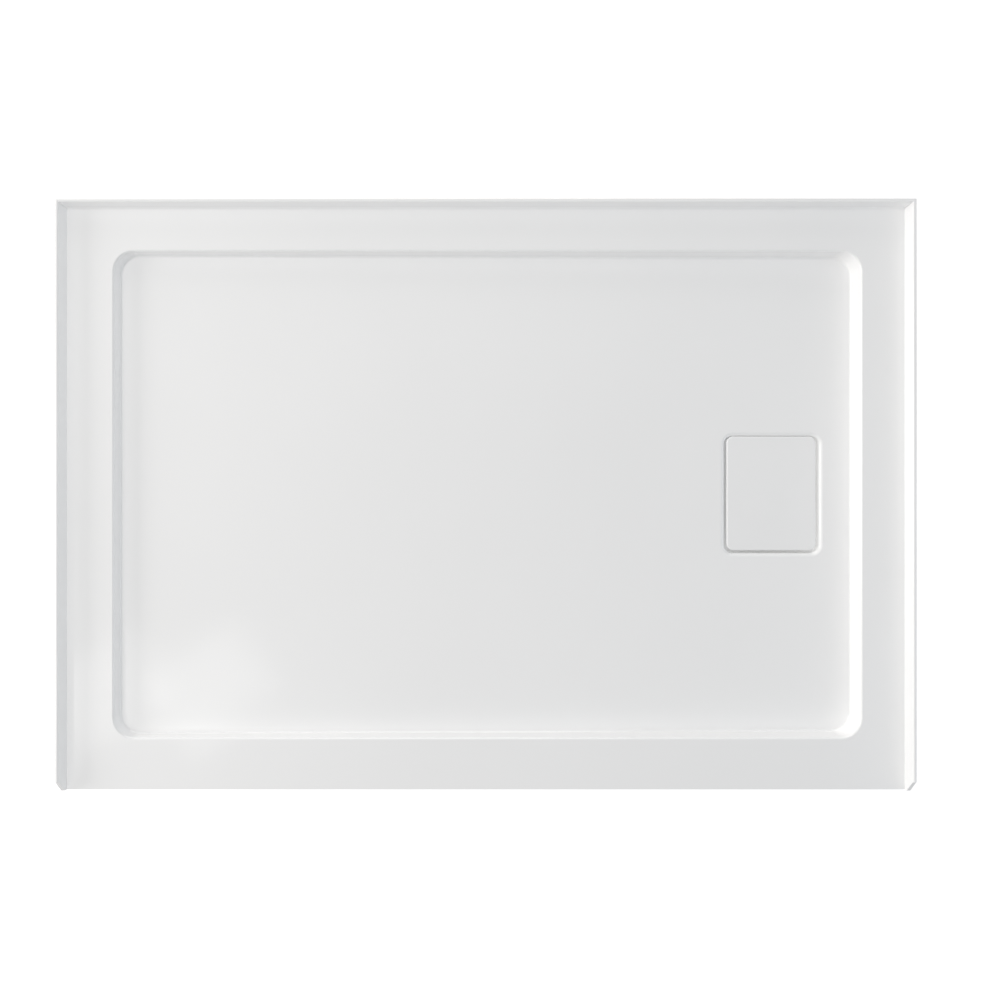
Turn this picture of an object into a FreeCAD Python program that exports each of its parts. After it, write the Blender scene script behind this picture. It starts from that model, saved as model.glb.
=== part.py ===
import FreeCAD, Part
import math
import os

# Alcove shower tray: an acrylic sheet with three tile flanges and a recessed floor that falls to the right,
# a flush drain cover, a laminated underside on a level board, and six screw feet.
# Millimetres. The origin is on the ground under the middle of the tray.
# X runs to the drain end, Y to the back wall, Z up.

# Overall
tray_width = 1219.0
tray_depth = 844.0
deck_height = 140.0

# Sheet and laminate
sheet_thickness = 4.0
laminate_thickness = 3.0

# Tile flanges on the left, back and right
flange_height = 25.0
flange_top_thickness = 5.0
flange_draft = 0.8
flange_top_round = 1.8
flange_foot_round = 3.0
flange_root = 8.0
flange_end_run = 18.0
flange_end_drop = 20.0

# Deck widths, from the tray's outline to where the rim of the recess starts to round over
deck_left = 70.5
deck_right = 65.5
deck_back = 65.0
deck_front = 71.5

# Front skirt under the threshold
threshold_round = 4.0
skirt_gap = 3.0
skirt_return = 45.0

# Recessed floor
step_depth = 22.0
floor_slope = 0.011
recess_rim_round = 3.0
recess_foot_round = 3.0
recess_corner_radius = 32.0
wall_draft = 0.035

# Sump under the drain cover
drain_from_right = 186.3
sump_width = 140.4
sump_length = 172.8
sump_depth = 23.7
sump_corner_radius = 12.0
sump_rim_round = 6.0
sump_foot_round = 5.0

# Drain cover, parallel to the floor, pushed towards the back left of its recess
cover_gap_x = 4.2
cover_gap_y = 2.2
cover_shift_x = -0.7
cover_shift_y = 1.6
cover_below_floor = 1.0
cover_corner_radius = 10.0
cover_edge_round = 1.2
cover_plate_thickness = 4.0
cover_backing_thickness = 5.0
cover_backing_inset = 3.0
cover_pocket_depth = 3.5
cover_rib_thickness = 2.5
cover_pockets_x = 3
cover_pockets_y = 4
cover_post_radius = 6.0
cover_post_edge = 12.3
bumper_radius = 7.0
bumper_thickness = 3.0
bumper_stem_radius = 3.0
bumper_stem_length = 6.0
bumper_fit = 0.05

# Support under the laminate
foam_least_thickness = 8.0
foam_edge_gap = 1.0
board_thickness = 15.0
board_sump_gap = 3.0
batten_width = 42.0
batten_height = 25.0
threshold_batten_height = 60.0
batten_edge_gap = 9.0
batten_end_gap = 2.0
batten_arris = 2.0

# Drain
drain_hole_radius = 41.5
drain_neck_radius = 41.0
drain_thread_pitch = 3.0
drain_thread_depth = 1.2
drain_flange_radius = 55.0
drain_flange_thickness = 4.5
drain_body_length = 47.5
drain_throat_radius = 38.0
drain_throat_depth = 9.0
drain_chamber_radius = 36.1
drain_lip_height = 8.0
drain_lip_radius = 31.2
drain_thread_top = 4.0
drain_thread_bottom = 2.0
washer_radius = 54.0
flange_gasket_thickness = 1.5
rubber_washer_thickness = 3.0
friction_washer_thickness = 1.5
locknut_thickness = 12.0
locknut_radius = 49.0
locknut_lug_radius = 56.0
locknut_lug_width = 12.0
locknut_lugs = 8
thread_fit = 0.15

# Waste pipe seal inside the drain
pipe_seal_radius = 30.25
pipe_gasket_height = 24.0
pipe_gasket_fit = 0.1
compression_nut_height = 10.0
compression_nut_bore = 31.0
compression_nut_fit = 0.1
compression_nut_notches = 4
compression_nut_notch_width = 8.0
compression_nut_notch_depth = 4.0

# Snap-in strainer
strainer_radius = 44.0
strainer_thickness = 1.5
strainer_fit = 0.4
strainer_hole_radius = 2.6
strainer_ring_step = 8.5
strainer_rings = 4
strainer_holes_per_ring = 6
strainer_legs = 3
strainer_leg_width = 10.0
strainer_leg_length = 7.0
strainer_leg_thickness = 0.8
strainer_leg_gap = 0.2

# Levelling feet
foot_edge_x = 60.0
foot_edge_y = 52.0
feet_along_x = 3
feet_along_y = 2
foot_thread_radius = 5.0
foot_thread_pitch = 1.5
foot_thread_depth = 0.9
foot_thread_fit = 0.08
foot_pad_radius = 30.0
foot_pad_rim = 5.0
foot_pad_height = 14.0
foot_pad_boss_radius = 13.0
foot_pad_edge_round = 1.5
foot_socket_depth = 9.0
foot_socket_fit = 0.08
foot_end_gap = 0.5
foot_hexagon_flats = 17.0
foot_hexagon_height = 8.0
foot_nut_height = 8.0
foot_locknut_height = 6.0
foot_stud_reach = 13.0
foot_hole_gap = 1.5
foot_rise = 8.0
foot_rise_gap = 1.5
bracket_length = 72.0
bracket_width = 52.0
bracket_thickness = 2.5
bracket_corner_radius = 6.0
bracket_screw_edge = 8.0
screw_radius = 2.2
screw_length = 12.5
screw_tip = 3.0
screw_head_radius = 4.2
screw_head_flat_radius = 2.5
screw_head_height = 2.6
screw_head_rim = 1.3
screw_hole_gap = 0.1
screw_slot_width = 0.9
screw_slot_length = 4.6
screw_slot_depth = 1.3

# Room that cutting shapes stand out past what they cut, and how near an edge has to be to count as on a plane
past = 20.0
near = 0.01

# Places worked out from the sizes above
x_left = -tray_width / 2
x_right = tray_width / 2
y_front = -tray_depth / 2
y_back = tray_depth / 2
wall_left = x_left + deck_left + recess_rim_round
wall_right = x_right - deck_right - recess_rim_round
wall_front = y_front + deck_front + recess_rim_round
wall_back = y_back - deck_back - recess_rim_round
skins = sheet_thickness + laminate_thickness
drain_x = x_right - drain_from_right
drain_y = (wall_front + wall_back) / 2


def floor_height(x):
    """Height of the sloped floor at x."""
    return deck_height - step_depth - floor_slope * (x - wall_left)


sump_floor = floor_height(drain_x) - sump_depth
board_top = floor_height(wall_right) - skins - foam_least_thickness
board_bottom = board_top - board_thickness
sump_underside = sump_floor - skins


def vector(x, y, z):
    return FreeCAD.Vector(x, y, z)


def box(x0, x1, y0, y1, z0, z1):
    return Part.makeBox(x1 - x0, y1 - y0, z1 - z0, vector(x0, y0, z0))


def rounded_outline(x0, x1, y0, y1, radius, z):
    """Closed wire of a rectangle with round corners, anticlockwise from the front left."""
    corners = [(x0, y0, math.pi), (x1, y0, 1.5 * math.pi), (x1, y1, 0.0), (x0, y1, 0.5 * math.pi)]
    inward = [(1, 1), (-1, 1), (-1, -1), (1, -1)]
    arcs = []
    for (x, y, start), (to_x, to_y) in zip(corners, inward):
        centre = vector(x + to_x * radius, y + to_y * radius, z)
        points = []
        for turn in (0.0, math.pi / 4, math.pi / 2):
            spoke = vector(math.cos(start + turn), math.sin(start + turn), 0) * radius
            points.append(centre + spoke)
        arcs.append(points)
    edges = []
    for index, points in enumerate(arcs):
        following = arcs[(index + 1) % len(arcs)]
        edges.append(Part.Arc(*points).toShape())
        edges.append(Part.LineSegment(points[2], following[0]).toShape())
    return Part.Wire(edges)


def rounded_prism(x0, x1, y0, y1, radius, z0, z1):
    face = Part.Face(rounded_outline(x0, x1, y0, y1, radius, z0))
    return face.extrude(vector(0, 0, z1 - z0))


def profile_face(points, plane):
    """Face from flat points, in the XZ plane (extruded along Y) or the YZ plane (extruded along X)."""
    placed = [vector(a, 0, z) if plane == "xz" else vector(0, a, z) for a, z in points]
    return Part.Face(Part.makePolygon(placed + placed[:1]))


def turned(points, x=0.0, y=0.0):
    """Solid of revolution about the vertical axis at x, y, from (radius, height) points."""
    wire = Part.makePolygon([vector(r, 0, z) for r, z in points + points[:1]])
    solid = Part.Face(wire).revolve(vector(0, 0, 0), vector(0, 0, 1), 360)
    solid.translate(vector(x, y, 0))
    return solid


def ring(inner, outer, z0, z1, x=0.0, y=0.0):
    return turned([(inner, z0), (outer, z0), (outer, z1), (inner, z1)], x, y)


def hexagon(flats, z0, z1, x=0.0, y=0.0):
    corner = flats / math.sqrt(3)
    points = []
    for side in range(7):
        angle = math.radians(60 * side)
        points.append(vector(x + corner * math.cos(angle), y + corner * math.sin(angle), z0))
    return Part.Face(Part.makePolygon(points)).extrude(vector(0, 0, z1 - z0))


def thread_points(crest, depth, pitch, z0, z1):
    """Zigzag (radius, height) points of a thread's outline, upwards from z0 to z1."""
    turns = int((z1 - z0) / pitch)
    points = [(crest, z0)]
    for turn in range(turns):
        points.append((crest - depth, z0 + (turn + 0.5) * pitch))
        points.append((crest, z0 + (turn + 1) * pitch))
    return points


def below_floor(offset):
    """Everything lower than the sloped floor plane by at least the offset."""
    x0 = x_left - past
    x1 = x_right + past
    points = [(x0, -past), (x1, -past), (x1, floor_height(x1) - offset), (x0, floor_height(x0) - offset)]
    solid = profile_face(points, "xz").extrude(vector(0, tray_depth + 2 * past, 0))
    solid.translate(vector(0, y_front - past, 0))
    return solid


def round_edges(solid, edges, radius):
    return solid.makeFillet(radius, edges) if radius > near and edges else solid


def edges_where(solid, test):
    return [edge for edge in solid.Edges if all(test(v.Point) for v in edge.Vertexes)]


def lowest_face(solid):
    return min(solid.Faces, key=lambda face: face.CenterOfMass.z)


def recess_cutter(inset):
    """What the recess takes out of the form, with its walls drafted and its foot rounded."""
    outlines = []
    for z in (floor_height(wall_right) - past, deck_height + past):
        grow = inset - wall_draft * (deck_height - z)
        x0, x1 = wall_left - grow, wall_right + grow
        y0, y1 = wall_front - grow, wall_back + grow
        radius = recess_corner_radius - recess_rim_round + grow
        outlines.append(rounded_outline(x0, x1, y0, y1, radius, z))
    solid = Part.makeLoft(outlines, True, True).cut(below_floor(inset))
    return round_edges(solid, lowest_face(solid).Edges, recess_foot_round + inset)


def sump_outline(grow):
    half_x = sump_width / 2 + grow
    half_y = sump_length / 2 + grow
    return drain_x - half_x, drain_x + half_x, drain_y - half_y, drain_y + half_y, sump_corner_radius + grow


def sump_cutter(inset):
    """What the sump takes out of the form, with its foot rounded."""
    solid = rounded_prism(*sump_outline(inset), sump_floor - inset, deck_height + past)
    return round_edges(solid, lowest_face(solid).Edges, sump_foot_round + inset)


def form(inset):
    """Solid whose upper surface is the tray's upper surface moved inwards by the inset."""
    top = deck_height - inset
    if inset == 0:
        solid = box(x_left, x_right, y_front, y_back, skirt_gap, top)
    else:
        back_of_skirt = y_front + skirt_return
        front = box(x_left + inset, x_right - inset, y_front + inset, back_of_skirt + past, -past, top)
        rest = box(x_left - past, x_right + past, back_of_skirt, y_back + past, -past, top)
        solid = front.fuse(rest).removeSplitter()
    solid = solid.cut(recess_cutter(inset))

    def on_rim(p):
        across = x_left + deck_left / 2 < p.x < x_right - deck_right / 2
        along = y_front + deck_front / 2 < p.y < y_back - deck_back / 2
        return abs(p.z - top) < near and across and along

    solid = round_edges(solid, edges_where(solid, on_rim), recess_rim_round - inset)
    solid = solid.cut(sump_cutter(inset))
    x0, x1, y0, y1, radius = sump_outline(inset)

    def on_sump_rim(p):
        inside = x0 - near < p.x < x1 + near and y0 - near < p.y < y1 + near
        return inside and p.z > sump_floor + sump_depth / 2

    return round_edges(solid, edges_where(solid, on_sump_rim), sump_rim_round - inset)


def flange_profile():
    """Outline of a tile flange: (distance in from the tray's outline, height) with rounded top and foot."""
    top = deck_height + flange_height
    root = deck_height - flange_root
    thick = flange_top_thickness
    foot = thick + flange_draft
    r = flange_top_round
    f = flange_foot_round
    sag = 1 - math.sqrt(0.5)
    b = f * sag
    c = r * sag
    return [
        ("line", (0, root), (0, top - r)),
        ("arc", (0, top - r), (c, top - c), (r, top)),
        ("line", (r, top), (thick - r, top)),
        ("arc", (thick - r, top), (thick - c, top - c), (thick, top - r)),
        ("line", (thick, top - r), (foot, deck_height + f)),
        ("arc", (foot, deck_height + f), (foot + b, deck_height + b), (foot + f, deck_height)),
        ("line", (foot + f, deck_height), (foot + f, root)),
        ("line", (foot + f, root), (0, root)),
    ]


def flange(place, run):
    """Tile flange: the profile's points put in place by a function, swept along the run."""
    edges = []
    for kind, *points in flange_profile():
        placed = [place(a, z) for a, z in points]
        if kind == "arc":
            edges.append(Part.Arc(*placed).toShape())
        else:
            edges.append(Part.LineSegment(*placed).toShape())
    return Part.Face(Part.Wire(edges)).extrude(run)


def tile_flanges():
    left = flange(lambda a, z: vector(x_left + a, y_front, z), vector(0, tray_depth, 0))
    right = flange(lambda a, z: vector(x_right - a, y_front, z), vector(0, tray_depth, 0))
    back = flange(lambda a, z: vector(x_left, y_back - a, z), vector(tray_width, 0, 0))
    top = deck_height + flange_height
    steepness = flange_end_drop / flange_end_run
    slant = [
        (y_front + flange_end_run + past / steepness, top + past),
        (y_front - past, top + past),
        (y_front - past, top - flange_end_drop - past * steepness),
    ]
    end_cut = profile_face(slant, "yz").extrude(vector(tray_width, 0, 0))
    end_cut.translate(vector(x_left, 0, 0))
    return left.fuse([right, back]).cut(end_cut)


def threshold_rounding():
    """Sliver that the rounded front edge of the threshold loses, between the flanges."""
    x0 = x_left + flange_top_thickness + flange_draft
    r = threshold_round
    middle = vector(x0, y_front + r, deck_height - r)
    block = box(x0, -x0, y_front - r, y_front + r, deck_height - r, deck_height + past)
    return block.cut(Part.makeCylinder(r, -2 * x0, middle, vector(1, 0, 0)))


def drain_hole():
    return Part.makeCylinder(drain_hole_radius, deck_height, vector(drain_x, drain_y, 0))


def acrylic_shell():
    solid = form(0).fuse(tile_flanges()).cut(threshold_rounding())
    return solid.cut(form(sheet_thickness)).cut(drain_hole()).removeSplitter()


def fibreglass_backing():
    outer = box(x_left, x_right, y_front, y_back, skirt_gap, deck_height)
    return form(sheet_thickness).cut(form(skins)).common(outer).cut(drain_hole())


def floor_outline():
    """Flat part of the floor's underside: x0, x1, y0, y1, corner radius."""
    inset = recess_foot_round + wall_draft * (deck_height - board_top) + foam_edge_gap
    radius = recess_corner_radius - recess_rim_round - inset
    return wall_left + inset, wall_right - inset, wall_front + inset, wall_back - inset, radius


def foot_places():
    """Middle of each levelling foot."""
    x0, x1, y0, y1, radius = floor_outline()
    step_x = (x1 - x0 - 2 * foot_edge_x) / (feet_along_x - 1)
    step_y = (y1 - y0 - 2 * foot_edge_y) / (feet_along_y - 1)
    places = []
    for row in range(feet_along_y):
        for column in range(feet_along_x):
            places.append((x0 + foot_edge_x + column * step_x, y0 + foot_edge_y + row * step_y))
    return places


def foot_hole(x, y, z0, z1):
    return Part.makeCylinder(foot_thread_radius + foot_hole_gap, z1 - z0, vector(x, y, z0))


def stud_top():
    return board_bottom + foot_stud_reach


def foam_core():
    solid = rounded_prism(*floor_outline(), board_top, deck_height).common(form(skins))
    for x, y in foot_places():
        solid = solid.cut(foot_hole(x, y, board_top, stud_top() + foot_rise + foot_rise_gap))
    return solid


def bracket_screw_places():
    """Screw centres, measured from the middle of a bracket."""
    half_x = bracket_length / 2 - bracket_screw_edge
    half_y = bracket_width / 2 - bracket_screw_edge
    return [(sx * half_x, sy * half_y) for sx in (-1, 1) for sy in (-1, 1)]


def screw_holes(z0, z1):
    radius = screw_radius + screw_hole_gap
    holes = []
    for x, y in foot_places():
        for dx, dy in bracket_screw_places():
            holes.append(Part.makeCylinder(radius, z1 - z0, vector(x + dx, y + dy, z0)))
    return holes


def base_board():
    solid = rounded_prism(*floor_outline(), board_bottom, board_top)
    opening = rounded_prism(*sump_outline(skins + board_sump_gap), board_bottom - past, board_top + past)
    solid = solid.cut(opening)
    for x, y in foot_places():
        solid = solid.cut(foot_hole(x, y, board_bottom, board_top))
    screw_end = board_bottom + screw_length - bracket_thickness
    return solid.cut(screw_holes(board_bottom, screw_end + screw_hole_gap))


def batten(x0, x1, y0, y1, height):
    """Wood strip bonded under the deck, with its lower arrises eased."""
    top = deck_height - skins
    solid = box(x0, x1, y0, y1, top - height, top)
    low = edges_where(solid, lambda p: abs(p.z - (top - height)) < near)
    return round_edges(solid, low, batten_arris)


def deck_battens():
    x0 = x_left + batten_edge_gap
    x1 = x_right - batten_edge_gap
    y0 = y_front + skins + batten_edge_gap
    y1 = y_back - batten_edge_gap
    side_y0 = y0 + batten_width + batten_end_gap
    side_y1 = y1 - batten_width - batten_end_gap
    front_x0 = x_left + skins + batten_end_gap
    front_x1 = x_right - skins - batten_end_gap
    return {
        "threshold_batten": batten(front_x0, front_x1, y0, y0 + batten_width, threshold_batten_height),
        "back_batten": batten(x0, x1, y1 - batten_width, y1, batten_height),
        "left_batten": batten(x0, x0 + batten_width, side_y0, side_y1, batten_height),
        "right_batten": batten(x1 - batten_width, x1, side_y0, side_y1, batten_height),
    }


def cover_outline(inset):
    half_x = sump_width / 2 - cover_gap_x - inset
    half_y = sump_length / 2 - cover_gap_y - inset
    x = drain_x + cover_shift_x
    y = drain_y + cover_shift_y
    return x - half_x, x + half_x, y - half_y, y + half_y, cover_corner_radius - inset


def cover_slab(inset, top, bottom):
    """Plate parallel to the floor, between two depths below the floor plane."""
    prism = rounded_prism(*cover_outline(inset), sump_floor, deck_height)
    return prism.common(below_floor(top)).cut(below_floor(bottom))


def cover_levels():
    """Depths below the floor plane: top of the plate, underside of the plate, underside of the backing."""
    underside = cover_below_floor + cover_plate_thickness
    return cover_below_floor, underside, underside + cover_backing_thickness


def drain_cover_plate():
    top, middle, bottom = cover_levels()
    solid = cover_slab(0, top, middle)
    upper = max(solid.Faces, key=lambda face: face.CenterOfMass.z)
    return round_edges(solid, upper.Edges, cover_edge_round)


def cover_post_places():
    x0, x1, y0, y1, radius = cover_outline(0)
    e = cover_post_edge
    return [(x0 + e, y0 + e), (x1 - e, y0 + e), (x1 - e, y1 - e), (x0 + e, y1 - e)]


def drain_cover_backing():
    top, middle, bottom = cover_levels()
    solid = cover_slab(cover_backing_inset, middle, bottom)
    x0, x1, y0, y1, radius = cover_outline(cover_backing_inset)
    rib = cover_rib_thickness
    pitch_x = (x1 - x0 - rib) / cover_pockets_x
    pitch_y = (y1 - y0 - rib) / cover_pockets_y
    keep = below_floor(bottom - cover_pocket_depth)
    for column in range(cover_pockets_x):
        for row in range(cover_pockets_y):
            px = x0 + rib + column * pitch_x
            py = y0 + rib + row * pitch_y
            pocket = box(px, px + pitch_x - rib, py, py + pitch_y - rib, sump_floor, deck_height)
            solid = solid.cut(pocket.common(keep))
    foot = sump_floor + bumper_thickness
    for x, y in cover_post_places():
        post = Part.makeCylinder(cover_post_radius, deck_height - foot, vector(x, y, foot))
        solid = solid.fuse(post.common(below_floor(middle)))
    hole_radius = bumper_stem_radius + bumper_fit
    hole_depth = bumper_stem_length + bumper_fit
    for x, y in cover_post_places():
        solid = solid.cut(Part.makeCylinder(hole_radius, hole_depth, vector(x, y, foot)))
    return solid.removeSplitter()


def cover_bumpers():
    foot = sump_floor + bumper_thickness
    feet = []
    for x, y in cover_post_places():
        feet.append(turned([
            (0, sump_floor),
            (bumper_radius, sump_floor),
            (bumper_radius, foot),
            (bumper_stem_radius, foot),
            (bumper_stem_radius, foot + bumper_stem_length),
            (0, foot + bumper_stem_length),
        ], x, y))
    return Part.makeCompound(feet)


flange_underside = sump_floor + flange_gasket_thickness
flange_top = flange_underside + drain_flange_thickness
drain_bottom = flange_underside - drain_body_length
pipe_gasket_bottom = drain_bottom + drain_lip_height
pipe_gasket_top = pipe_gasket_bottom + pipe_gasket_height
rubber_washer_bottom = sump_underside - rubber_washer_thickness
friction_washer_bottom = rubber_washer_bottom - friction_washer_thickness


def drain_body():
    """Flanged, threaded drain with a throat, a chamber for the pipe seal and a lip that the seal sits on."""
    seat = flange_top - strainer_thickness
    outside = thread_points(drain_neck_radius, drain_thread_depth, drain_thread_pitch,
                            drain_bottom + drain_thread_bottom, flange_underside - drain_thread_top)
    points = [(drain_lip_radius, drain_bottom), (drain_neck_radius - drain_thread_depth, drain_bottom)]
    points += outside
    points += [
        (drain_neck_radius, flange_underside),
        (drain_flange_radius, flange_underside),
        (drain_flange_radius, flange_top - strainer_thickness / 2),
        (drain_flange_radius - strainer_thickness, flange_top),
        (strainer_radius + strainer_fit, flange_top),
        (strainer_radius + strainer_fit, seat),
        (drain_throat_radius, seat),
        (drain_throat_radius, flange_top - drain_throat_depth),
        (drain_chamber_radius, flange_top - drain_throat_depth),
        (drain_chamber_radius, pipe_gasket_bottom),
        (drain_lip_radius, pipe_gasket_bottom),
    ]
    return turned(points, drain_x, drain_y)


def drain_locknut():
    """Castellated plastic nut that clamps the drain from below."""
    top = friction_washer_bottom
    low = top - locknut_thickness
    solid = ring(drain_neck_radius + thread_fit, locknut_radius, low, top, drain_x, drain_y)
    for index in range(locknut_lugs):
        lug = box(locknut_radius - thread_fit - locknut_lug_width / 4, locknut_lug_radius,
                  -locknut_lug_width / 2, locknut_lug_width / 2, low, top)
        lug.rotate(vector(0, 0, 0), vector(0, 0, 1), 360 * index / locknut_lugs)
        lug.translate(vector(drain_x, drain_y, 0))
        solid = solid.fuse(lug)
    return solid.removeSplitter()


def pipe_compression_nut():
    low = pipe_gasket_top
    top = low + compression_nut_height
    outer = drain_chamber_radius - compression_nut_fit
    solid = ring(compression_nut_bore, outer, low, top, drain_x, drain_y)
    half = compression_nut_notch_width / 2
    for index in range(compression_nut_notches // 2):
        slot = box(-outer - past, outer + past, -half, half, top - compression_nut_notch_depth, top + past)
        slot.rotate(vector(0, 0, 0), vector(0, 0, 1), 360 * index / compression_nut_notches)
        slot.translate(vector(drain_x, drain_y, 0))
        solid = solid.cut(slot)
    return solid


def drain_strainer():
    """Perforated disc with spring legs that grip the throat."""
    low = flange_top - strainer_thickness
    solid = Part.makeCylinder(strainer_radius, strainer_thickness, vector(0, 0, low))
    holes = [Part.makeCylinder(strainer_hole_radius, strainer_thickness, vector(0, 0, low))]
    for number in range(1, strainer_rings + 1):
        count = strainer_holes_per_ring * number
        for index in range(count):
            angle = 2 * math.pi * index / count
            radius = number * strainer_ring_step
            place = vector(radius * math.cos(angle), radius * math.sin(angle), low)
            holes.append(Part.makeCylinder(strainer_hole_radius, strainer_thickness, place))
    solid = solid.cut(holes)
    leg_outer = drain_throat_radius - strainer_leg_gap
    sleeve = ring(leg_outer - strainer_leg_thickness, leg_outer, low - strainer_leg_length, low)
    half = strainer_leg_width / 2
    for index in range(strainer_legs):
        sector = box(0, drain_throat_radius, -half, half, low - strainer_leg_length, low)
        leg = sleeve.common(sector)
        leg.rotate(vector(0, 0, 0), vector(0, 0, 1), 360 * (index + 0.5) / strainer_legs)
        solid = solid.fuse(leg)
    solid.translate(vector(drain_x, drain_y, 0))
    return solid


def drain_parts():
    seal_outer = drain_chamber_radius - pipe_gasket_fit
    inner = drain_neck_radius + thread_fit
    rings = {
        "drain_flange_gasket": (inner, washer_radius, sump_floor, flange_underside),
        "drain_rubber_washer": (inner, washer_radius, rubber_washer_bottom, sump_underside),
        "drain_friction_washer": (inner, washer_radius, friction_washer_bottom, rubber_washer_bottom),
        "pipe_gasket": (pipe_seal_radius, seal_outer, pipe_gasket_bottom, pipe_gasket_top),
    }
    parts = {name: ring(*sizes, drain_x, drain_y) for name, sizes in rings.items()}
    parts["drain_body"] = drain_body()
    parts["drain_locknut"] = drain_locknut()
    parts["pipe_compression_nut"] = pipe_compression_nut()
    parts["drain_strainer"] = drain_strainer()
    return parts


bracket_underside = board_bottom - bracket_thickness
foot_nut_bottom = bracket_underside - foot_nut_height
foot_locknut_bottom = foot_nut_bottom - foot_locknut_height
foot_bore = foot_thread_radius + foot_thread_fit


def foot_pad(x, y):
    """Moulded pad with a blind socket for the end of the stud."""
    socket = foot_thread_radius + foot_socket_fit
    r = foot_pad_edge_round
    return turned([
        (0, 0),
        (foot_pad_radius - r / 2, 0),
        (foot_pad_radius, r),
        (foot_pad_radius, foot_pad_rim - r),
        (foot_pad_radius - r, foot_pad_rim),
        (foot_pad_boss_radius + 2 * r, foot_pad_rim + r),
        (foot_pad_boss_radius, foot_pad_rim + 3 * r),
        (foot_pad_boss_radius, foot_pad_height),
        (socket, foot_pad_height),
        (socket, foot_pad_height - foot_socket_depth),
        (0, foot_pad_height - foot_socket_depth),
    ], x, y)


def foot_stud(x, y):
    """Threaded rod with a hexagon to turn it by and a plain end that sits in the pad."""
    low = foot_pad_height - foot_socket_depth + foot_end_gap
    hexagon_top = foot_pad_height + foot_hexagon_height
    root = foot_thread_radius - foot_thread_depth
    thread = thread_points(foot_thread_radius, foot_thread_depth, foot_thread_pitch, hexagon_top, stud_top())
    last = thread[-1][1]
    points = [(0, low), (foot_thread_radius, low)] + thread + [(root, last + foot_thread_depth)]
    points.append((0, last + foot_thread_depth))
    rod = turned(points, x, y)
    return rod.fuse(hexagon(foot_hexagon_flats, foot_pad_height, hexagon_top, x, y)).removeSplitter()


def foot_nut(x, y, low, top):
    """Hexagon nut with its corners turned off."""
    corner = foot_hexagon_flats / math.sqrt(3)
    flat = foot_hexagon_flats / 2
    ease = (corner - flat) / 2
    blank = turned([
        (foot_bore, low),
        (flat, low),
        (corner, low + ease),
        (corner, top - ease),
        (flat, top),
        (foot_bore, top),
    ], x, y)
    return hexagon(foot_hexagon_flats, low, top, x, y).common(blank)


def foot_bracket(x, y):
    """Steel plate with a nut welded under it."""
    half_x = bracket_length / 2
    half_y = bracket_width / 2
    plate = rounded_prism(x - half_x, x + half_x, y - half_y, y + half_y, bracket_corner_radius,
                          bracket_underside, board_bottom)
    plate = plate.cut(foot_hole(x, y, bracket_underside, board_bottom))
    for dx, dy in bracket_screw_places():
        hole = Part.makeCylinder(screw_radius + screw_hole_gap, bracket_thickness,
                                 vector(x + dx, y + dy, bracket_underside))
        plate = plate.cut(hole)
    return Part.makeCompound([plate, foot_nut(x, y, foot_nut_bottom, bracket_underside)])


def wood_screw():
    """Pan-head screw, point up, with a cross recess; its head bears on a plate above z = 0."""
    head = screw_head_height
    solid = turned([
        (0, -head),
        (screw_head_flat_radius, -head),
        (screw_head_radius, -screw_head_rim),
        (screw_head_radius, 0),
        (screw_radius, 0),
        (screw_radius, screw_length - screw_tip),
        (0, screw_length),
    ])
    half_long = screw_slot_length / 2
    half_wide = screw_slot_width / 2
    slot_top = -head + screw_slot_depth
    across = box(-half_long, half_long, -half_wide, half_wide, -head - past, slot_top)
    along = box(-half_wide, half_wide, -half_long, half_long, -head - past, slot_top)
    return solid.cut(across.fuse(along))


def bracket_screws():
    pattern = wood_screw()
    screws = []
    for x, y in foot_places():
        for dx, dy in bracket_screw_places():
            screw = pattern.copy()
            screw.translate(vector(x + dx, y + dy, bracket_underside))
            screws.append(screw)
    return Part.makeCompound(screws)


def foot_parts():
    parts = {"bracket_screws": bracket_screws()}
    for number, (x, y) in enumerate(foot_places(), start=1):
        parts[f"foot_pad_{number}"] = foot_pad(x, y)
        parts[f"foot_stud_{number}"] = foot_stud(x, y)
        parts[f"foot_locknut_{number}"] = foot_nut(x, y, foot_locknut_bottom, foot_nut_bottom)
        parts[f"foot_bracket_{number}"] = foot_bracket(x, y)
    return parts


def main():
    os.makedirs("parts", exist_ok=True)
    nodes = {
        "acrylic_shell": acrylic_shell(),
        "fibreglass_backing": fibreglass_backing(),
        "foam_core": foam_core(),
        "base_board": base_board(),
        "drain_cover_plate": drain_cover_plate(),
        "drain_cover_backing": drain_cover_backing(),
        "cover_bumpers": cover_bumpers(),
    }
    nodes.update(deck_battens())
    nodes.update(drain_parts())
    nodes.update(foot_parts())
    for name, shape in nodes.items():
        shape.exportStep(f"parts/{name}.step")
        corners = shape.BoundBox
        print(f"{name}: {len(shape.Solids)} solids, valid {shape.isValid()}, {shape.Volume / 1000:.1f} cm3,"
              f" z {corners.ZMin:.2f} to {corners.ZMax:.2f}")


main()
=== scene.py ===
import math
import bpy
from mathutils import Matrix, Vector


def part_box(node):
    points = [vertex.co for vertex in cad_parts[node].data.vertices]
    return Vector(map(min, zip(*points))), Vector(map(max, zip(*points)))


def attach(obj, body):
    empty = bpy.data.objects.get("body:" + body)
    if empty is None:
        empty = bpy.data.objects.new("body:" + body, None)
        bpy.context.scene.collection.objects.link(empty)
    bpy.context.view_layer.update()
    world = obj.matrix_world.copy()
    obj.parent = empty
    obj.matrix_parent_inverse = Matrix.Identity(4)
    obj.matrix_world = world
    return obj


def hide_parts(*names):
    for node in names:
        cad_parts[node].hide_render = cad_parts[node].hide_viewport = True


bl_info = {
    "name": "Shower tray",
    "version": (1, 0, 0),
    "blender": (4, 5, 0),
    "location": "View3D > Sidebar > Shower tray",
    "description": "Dresses the packed shower tray with its finished pieces, materials and a plain studio",
    "category": "Object",
}

import bmesh
import bpy
from mathutils import Vector

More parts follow.
